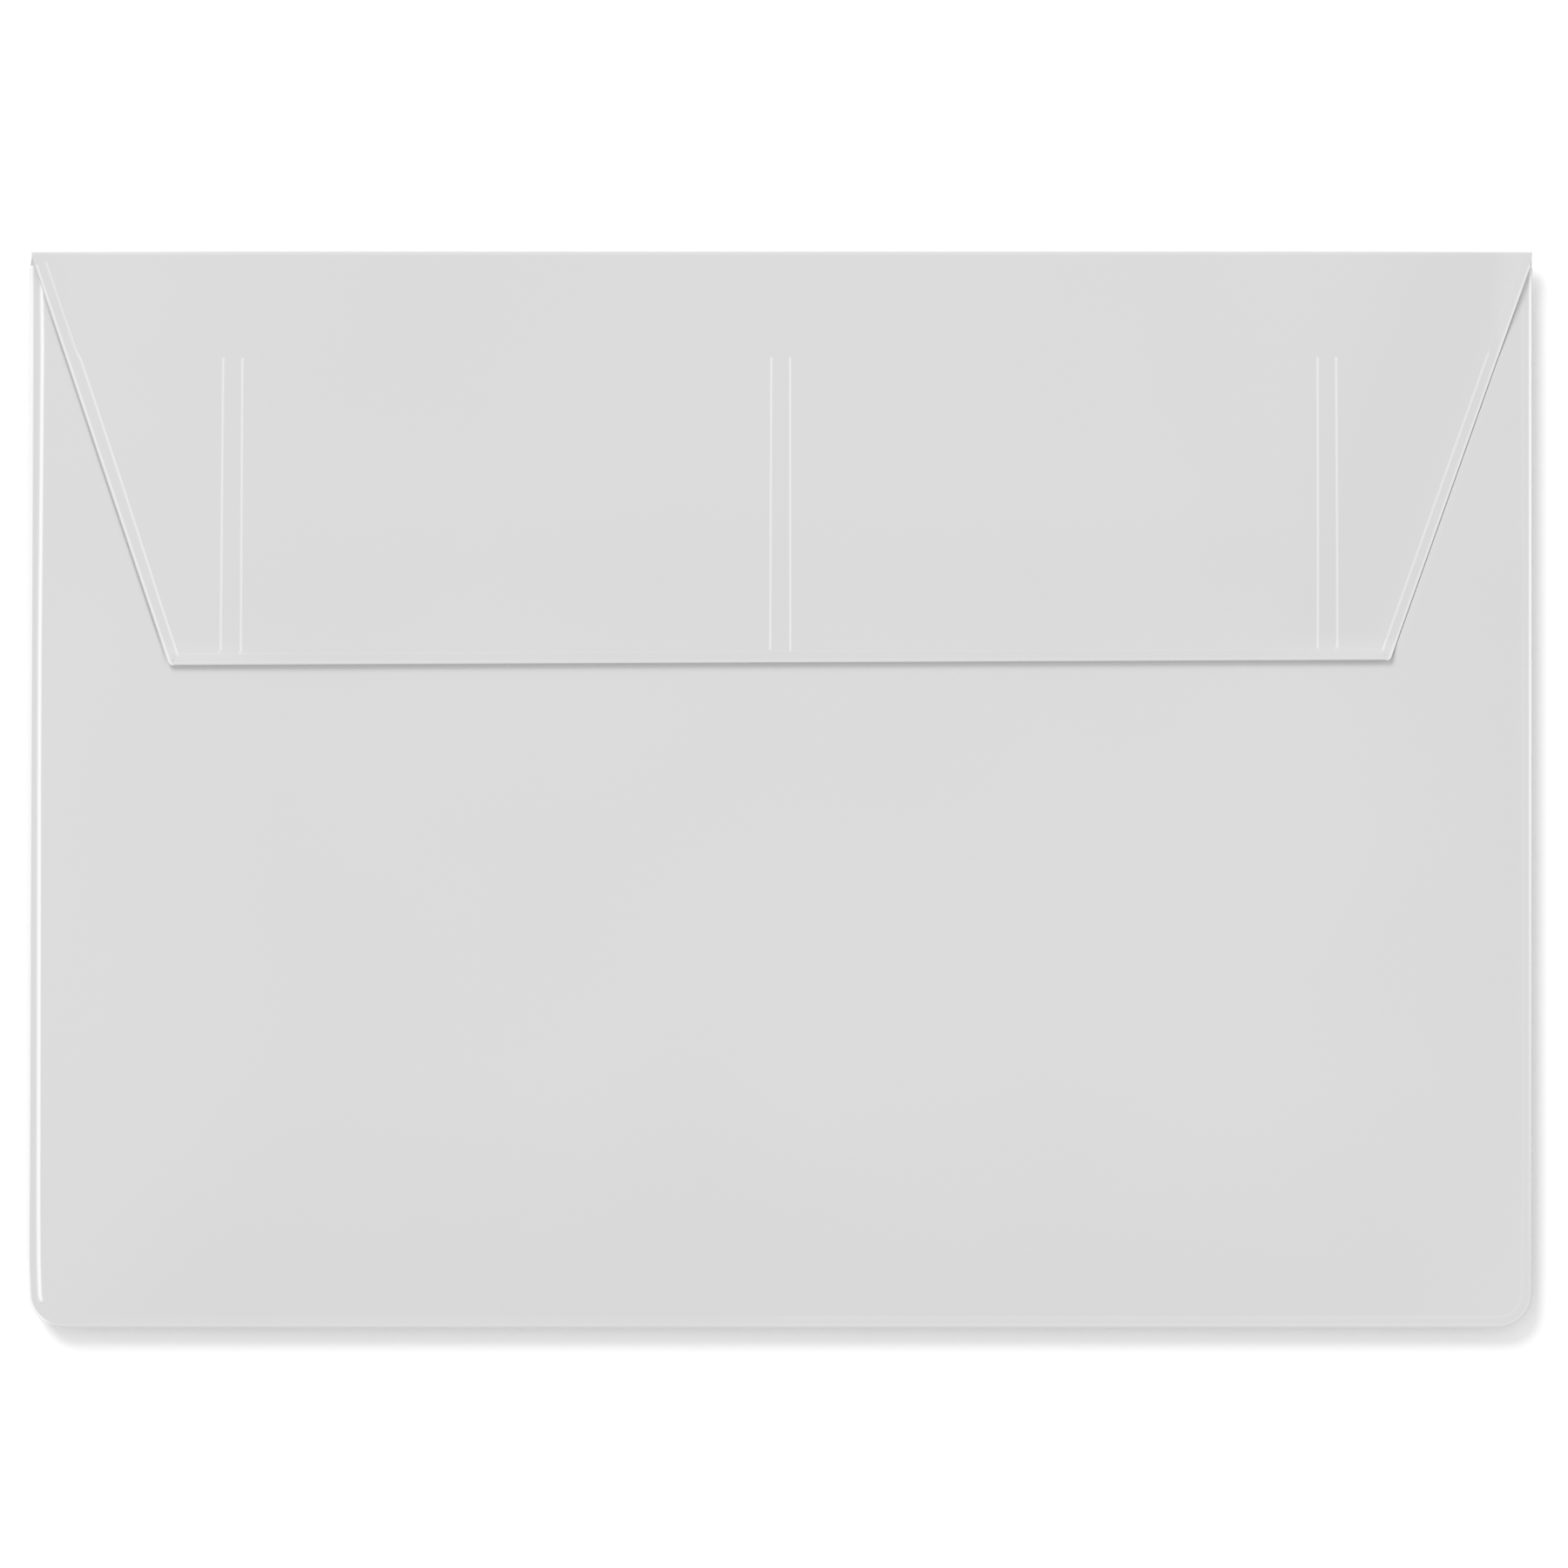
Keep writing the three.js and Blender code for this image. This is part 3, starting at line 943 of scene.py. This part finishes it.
print("an edge weld goes", round((EDGE_WELD_WIDTH + FLAP_PAST) / MM, 1), "mm in")

# %% The welds along the slants
# For each slant: where its edge whitened, in millimetres from the cut, how white the edge and the
# line came out above and below the mouth of the pockets, as painted highlight, and how dark the
# painted shade along the cut is.
SLANTS = {
    "left": {"edge_at": 0.36, "edge": 0.55, "upper": 0.34, "lower": 0.52, "cut": 0.2},
    "right": {"edge_at": 0.2, "edge": 0.4, "upper": 0, "lower": 0.34, "cut": 0},
}
# How far in the line is: the right one is straight, the left one wanders from the bottom up.
LEFT_SLANT = [21, 31, 38, 53, 68, 73, 74.5], [2.05, 2.08, 2.18, 2.37, 2.43, 2.4, 2.1]
LINE_CHANGE = 1 * MM  # at the mouth, from the upper whiteness to the lower
LINE_START, LINE_START_OVER = 0.8 * MM, 0.5 * MM  # above the end of the flap
SLANT_RINGS, END_RINGS = 110, 90
slant_angle = math.atan(FLAP_SLANT)

for name, mark in SLANTS.items():
    side = -1 if name == "left" else 1
    straight = np.linspace(FLAP_END_Y + STRAIGHT_FROM, BAND_Y, SLANT_RINGS)
    y = np.concatenate([FLAP_END_ROWS, straight])[::-side]
    path = np.stack([side * flap_half(y), y], -1)
    inwards = np.tile([-side * math.cos(slant_angle), math.sin(slant_angle)], (len(y), 1))
    line_at = np.interp(y / MM, *LEFT_SLANT) * MM if side < 0 else EDGE_WELD_WIDTH
    below_mouth = eased((CARD_MOUTH_Y - y) / LINE_CHANGE + 0.5)
    line_mark = mark["upper"] + (mark["lower"] - mark["upper"]) * below_mouth
    line_mark = line_mark * eased((y - FLAP_END_Y - LINE_START) / LINE_START_OVER)
    # Painted highlight of the edge and of the line, and painted shade along the cut.
    marks = mark["edge"], line_mark, mark["cut"]
    weld = make_flap_weld(f"flap_weld_{name}", path, inwards, mark["edge_at"] * MM, line_at, marks)
    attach(weld, "flap")
    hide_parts(f"{name}_flap_edge_weld")

# %% The weld along the end of the flap
END_EDGE_AT = 0.36 * MM
END_MARKS = 0.04, 0, 0.4  # of its edge and its line, as painted highlight, and of the painted shade along its cut
x = np.linspace(-flap_half(FLAP_END_Y), flap_half(FLAP_END_Y), END_RINGS)
path = np.stack([x, np.full(len(x), FLAP_END_Y)], -1)
inwards = np.tile([0.0, 1.0], (len(x), 1))
weld = make_flap_weld("flap_weld_end", path, inwards, END_EDGE_AT, EDGE_WELD_WIDTH, END_MARKS)
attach(weld, "flap")
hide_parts("flap_end_weld")

# %% [markdown]
# ## The upright welds between the card pockets
# Three pairs of fine lines part the card pockets. The electrode is a pair of blades that presses
# through both sheets, so the lines stand up a little on both faces. Each one leans by a few
# tenths of a millimetre, and the outer ones end below in a small foot. They could be bumps in a
# material, but a real ridge catches the light from every side.

# The tops of the ridges are painted paler too: the whitening of the weld with painted highlight.
# %% Sizes of the upright welds
# In millimetres: how far the top of a line is off its place, how far its end leans from there,
# how much longer it is than its solid, and to which side and how strongly its foot is wider.
LINES = {
    "left_divider_weld_outer": {"shift": -0.43, "lean": -0.28, "longer": 0.2, "foot": -1},
    "left_divider_weld_inner": {"shift": -0.44, "lean": -0.09, "longer": 0.5, "foot": -0.6},
    "middle_divider_weld_left": {"shift": -0.02, "lean": -0.2, "longer": 0.1, "foot": 0},
    "middle_divider_weld_right": {"shift": -0.1, "lean": 0.04, "longer": 0.3, "foot": 0},
    "right_divider_weld_inner": {"shift": -0.08, "lean": 0.53, "longer": 0.25, "foot": 0},
    "right_divider_weld_outer": {"shift": -0.2, "lean": 0.75, "longer": 0.5, "foot": -0.9},
}
# RIDGE_WHITE is how pale the top of a ridge is painted: whitening and painted highlight.
RIDGE, RIDGE_WHITE = 0.1 * MM, 0.45
RIDGE_DIVE = 0.02 * MM  # how deep the sides of a ridge go under the faces of the sheets
RIDGE_HALF = 0.72  # half the width of a ridge, as a share of the width of its solid
LOW_RIDGE = 0.5  # how much of its height the ridge has on the clear sheet
RIDGE_RINGS, RIDGE_STEPS = 120, 13
RUN_OUT = 0.25 * MM  # how far a line takes to rise at either end
FOOT, FOOT_FADE, FOOT_ASIDE = 0.5 * MM, 0.35 * MM, 0.3 * MM
FOOT_WIDER, FOOT_LOWER, FOOT_DULLER = 0.7, 0.6, 0.65  # shares, where the foot is full
print(len(LINES), "lines stand", round((RIDGE - RIDGE_DIVE) / MM, 2), "mm above the flap")


# %% Upright welds
def make_divider(node, shift, lean, longer, foot):
    """A line of weld: a low rounded ridge on each face, a squared cosine across, on a bar through
    the sheets. It runs out at the top and ends below in a foot, a little wider to one side."""
    low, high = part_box(node)
    t = np.linspace(0, 1, RIDGE_RINGS)[:, None] ** 1.3  # rings closer together at the foot
    y = low.y - longer * MM + (high.y - low.y + longer * MM) * t
    from_end = y - y[0]
    taper = eased(from_end / RUN_OUT) * eased((y[-1] - y) / RUN_OUT)
    widening = (1 - eased((from_end - FOOT) / FOOT_FADE)) * abs(foot)
    across = np.linspace(-1, 1, RIDGE_STEPS)[None, :]
    ridge = np.cos(across * QUARTER) ** 2
    half = (high.x - low.x) * RIDGE_HALF * (1 + FOOT_WIDER * widening)
    middle = (low.x + high.x) / 2 + shift * MM + lean * MM * (1 - t) + foot * FOOT_ASIDE * widening
    top_x, low_x = middle + half * across, middle + half * across[:, ::-1]
    y = np.broadcast_to(y, top_x.shape)
    rise = taper * (1 - FOOT_LOWER * widening) * RIDGE * ridge - RIDGE_DIVE
    upper = flap_place(top_x, y, flap_top(top_x, y) + rise)
    lower = flap_place(low_x, y, card_underside(low_x, y) - LOW_RIDGE * rise)
    # Painted highlight along the top of each ridge, duller on the foot.
    whitening_and_painted_light = RIDGE_WHITE * (1 - FOOT_DULLER * widening) * taper * ridge
    rings, whitening_and_painted_light = np.concatenate([upper, lower], 1), np.concatenate([whitening_and_painted_light, whitening_and_painted_light], 1)
    return make_weld(node.replace("_divider_weld", "_line"), rings[::-1], whitening_and_painted_light[::-1])


for node, place in LINES.items():
    line = make_divider(node, **place)
    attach(line, "flap")
    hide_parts(node)

# %% [markdown]
# ## The floor
# The pouch lies on white. To the camera and in reflections the floor is a full white that still
# takes the shadow, and to all other light it is a plain pale grey, so that it doesn't glow onto
# the vinyl. A white picture behind the object would be simpler, but would lose the shadow.

# %% Floor
FLOOR_GREY, FLOOR_WHITE = 0.8, 1.15  # the white is full even where the pouch takes some sky away
REACH, FLOOR_DEPTH = 4.0, -0.02 * MM
floor_look = Look("white floor")
path_node = floor_look.node("ShaderNodeLightPath", output="Is Camera Ray")
glossy = floor_look.node("ShaderNodeLightPath", output="Is Glossy Ray")
through = floor_look.node("ShaderNodeLightPath", output="Is Transmission Ray")
seen = path_node.math("MAXIMUM", path_node, glossy.math("MAXIMUM", glossy, through))
floor_look.shade(Base_Color=floor_look.mixed(seen, grey(FLOOR_GREY), grey(FLOOR_WHITE)))
floor_look.shade(Specular_IOR_Level=0, Roughness=1)
floor_mesh = bpy.data.meshes.new("floor")
corners = [(x * REACH, y * REACH, FLOOR_DEPTH) for x, y in ((-1, -1), (1, -1), (1, 1), (-1, 1))]
floor_mesh.from_pydata(corners, [], [(0, 1, 2, 3)])
floor_mesh.materials.append(floor_look.material)
floor = bpy.data.objects.new("floor", floor_mesh)
bpy.context.collection.objects.link(floor)
print("floor", 2 * REACH, "m across")
